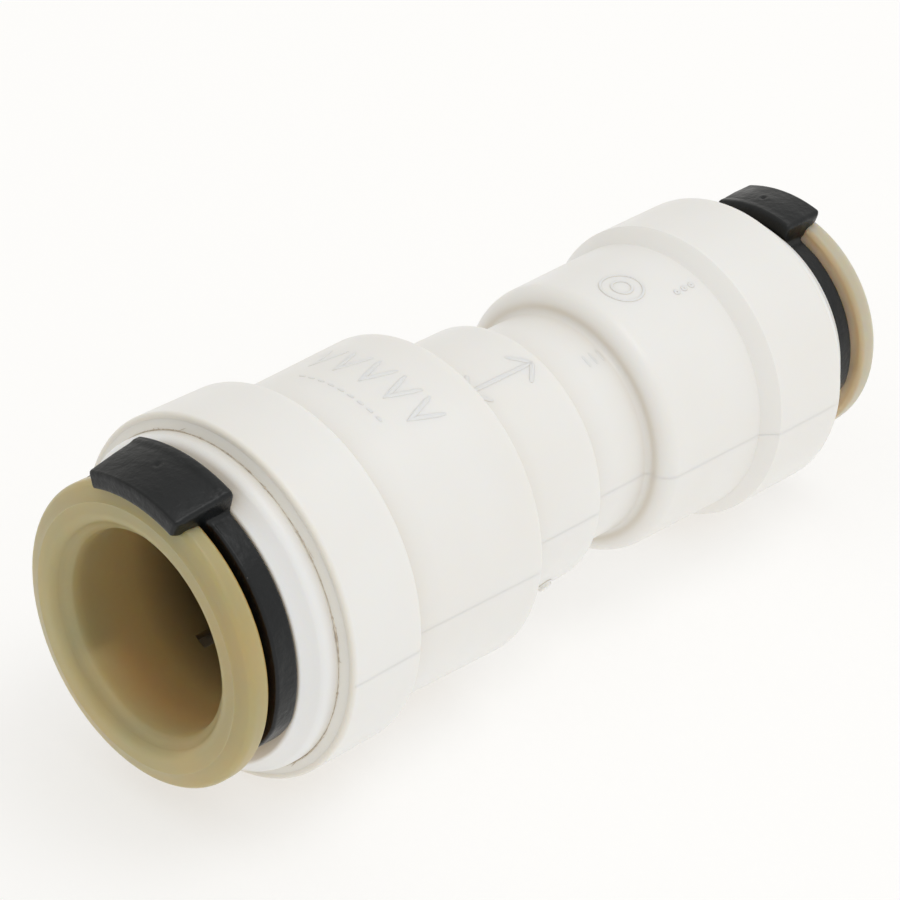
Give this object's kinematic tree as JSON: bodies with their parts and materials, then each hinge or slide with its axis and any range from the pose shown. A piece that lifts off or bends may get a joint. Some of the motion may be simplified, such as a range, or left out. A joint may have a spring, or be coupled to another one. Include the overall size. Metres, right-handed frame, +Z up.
{
  "type": "push to connect fitting",
  "caption": "Straight reducing push to connect fitting for plastic or copper tube, with release collets, steel gripping teeth, seals and spring locking clips.",
  "frame": {"origin": "on the tubes' common axis, at the stop that the large tube meets", "axes": "+X out of the large mouth along the tubes' axis, +Z up through the thumb tabs of the locking clips"},
  "size_m": [0.0968, 0.038, 0.038],
  "materials": {
    "body_plastic": "satin",
    "bonnet_plastic": "satin",
    "collet_plastic": "translucent",
    "clip_plastic": "satin",
    "seal_rubber": "matte",
    "spacer_plastic": "matte",
    "tooth_steel": "spring steel"
  },
  "bodies": {
    "housing": {"body": "body_plastic", "large_bonnet": "bonnet_plastic", "large_o_ring": "seal_rubber", "large_spacer_ring": "spacer_plastic", "small_bonnet": "bonnet_plastic", "small_o_ring": "seal_rubber", "small_spacer_ring": "spacer_plastic"},
    "large_collet_assembly": {"large_collet": "collet_plastic", "large_tooth_1": "tooth_steel", "large_tooth_2": "tooth_steel", "large_tooth_3": "tooth_steel", "large_tooth_4": "tooth_steel", "large_tooth_5": "tooth_steel", "large_tooth_6": "tooth_steel"},
    "small_collet_assembly": {"small_collet": "collet_plastic", "small_tooth_1": "tooth_steel", "small_tooth_2": "tooth_steel", "small_tooth_3": "tooth_steel", "small_tooth_4": "tooth_steel", "small_tooth_5": "tooth_steel", "small_tooth_6": "tooth_steel"},
    "large_clip": {"large_locking_clip": "clip_plastic"},
    "small_clip": {"small_locking_clip": "clip_plastic"}
  },
  "joints": [
    {"name": "large_clip_pull", "type": "slide", "parent": "housing", "child": "large_clip", "axis": [0, 0, 1], "range_m": [0, 0.035], "deforming": ["large_locking_clip"]},
    {"name": "large_collet_press", "type": "slide", "parent": "housing", "child": "large_collet_assembly", "axis": [-1, 0, 0], "range_m": [0, 0.003]},
    {"name": "small_clip_pull", "type": "slide", "parent": "housing", "child": "small_clip", "axis": [0, -0.0785, 0.9969], "range_m": [0, 0.03], "deforming": ["small_locking_clip"]},
    {"name": "small_collet_press", "type": "slide", "parent": "housing", "child": "small_collet_assembly", "axis": [1, 0, 0], "range_m": [0, 0.003]}
  ],
  "couplings": [
    {"joint": "large_collet_press", "follows": "large_clip_pull", "ratio": 0.0857},
    {"joint": "small_collet_press", "follows": "small_clip_pull", "ratio": 0.0999}
  ]
}
